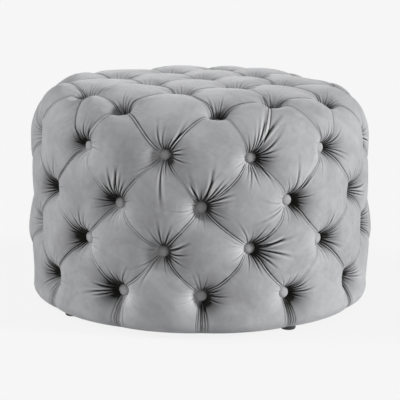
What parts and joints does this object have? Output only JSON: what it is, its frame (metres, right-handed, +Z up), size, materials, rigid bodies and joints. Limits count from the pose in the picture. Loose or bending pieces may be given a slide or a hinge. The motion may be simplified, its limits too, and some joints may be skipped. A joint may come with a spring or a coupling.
{
  "type": "ottoman",
  "caption": "Round upholstered ottoman, deep buttoned in diamonds over its side and top, on short feet.",
  "frame": {"origin": "on the floor under the centre of the ottoman", "axes": "+Z up along the drum's axis, -Y the front that the picture shows a little turned"},
  "size_m": [0.7, 0.7, 0.4722],
  "materials": {
    "velvet": "mid-grey velvet with a short soft pile and a pale sheen at grazing angles",
    "foam": "open-cell upholstery foam, matt",
    "plywood": "unfinished birch plywood",
    "pine": "planed pine",
    "black_cloth": "black spun-bonded dust cover cloth",
    "black_plastic": "satin black moulded plastic",
    "screw_steel": "zinc-plated steel"
  },
  "bodies": {
    "root": {"base_ring": "plywood", "base_screw_1": "screw_steel", "base_screw_2": "screw_steel", "base_screw_3": "screw_steel", "base_screw_4": "screw_steel", "base_screw_5": "screw_steel", "base_screw_6": "screw_steel", "button_edge_1": "velvet", "button_edge_10": "velvet", "button_edge_11": "velvet", "button_edge_12": "velvet", "button_edge_2": "velvet", "button_edge_3": "velvet", "button_edge_4": "velvet", "button_edge_5": "velvet", "button_edge_6": "velvet", "button_edge_7": "velvet", "button_edge_8": "velvet", "button_edge_9": "velvet", "button_top_1": "velvet", "button_top_2": "velvet", "button_top_3": "velvet", "button_top_4": "velvet", "button_top_5": "velvet", "button_top_6": "velvet", "button_top_7": "velvet", "button_top_8": "velvet", "button_top_9": "velvet", "dust_cover": "black_cloth", "foot_1": "black_plastic", "foot_2": "black_plastic", "foot_3": "black_plastic", "foot_4": "black_plastic", "foot_screw_1": "screw_steel", "foot_screw_2": "screw_steel", "foot_screw_3": "screw_steel", "foot_screw_4": "screw_steel", "side_cover_front": "velvet", "side_cover_left": "velvet", "side_cover_right": "velvet", "side_foam": "foam", "side_panel": "plywood", "top_board": "plywood", "top_board_screw_1": "screw_steel", "top_board_screw_2": "screw_steel", "top_board_screw_3": "screw_steel", "top_board_screw_4": "screw_steel", "top_board_screw_5": "screw_steel", "top_board_screw_6": "screw_steel", "top_cover": "velvet", "top_foam": "foam", "upright_1": "pine", "upright_2": "pine", "upright_3": "pine", "upright_4": "pine", "upright_5": "pine", "upright_6": "pine"}
  },
  "joints": []
}
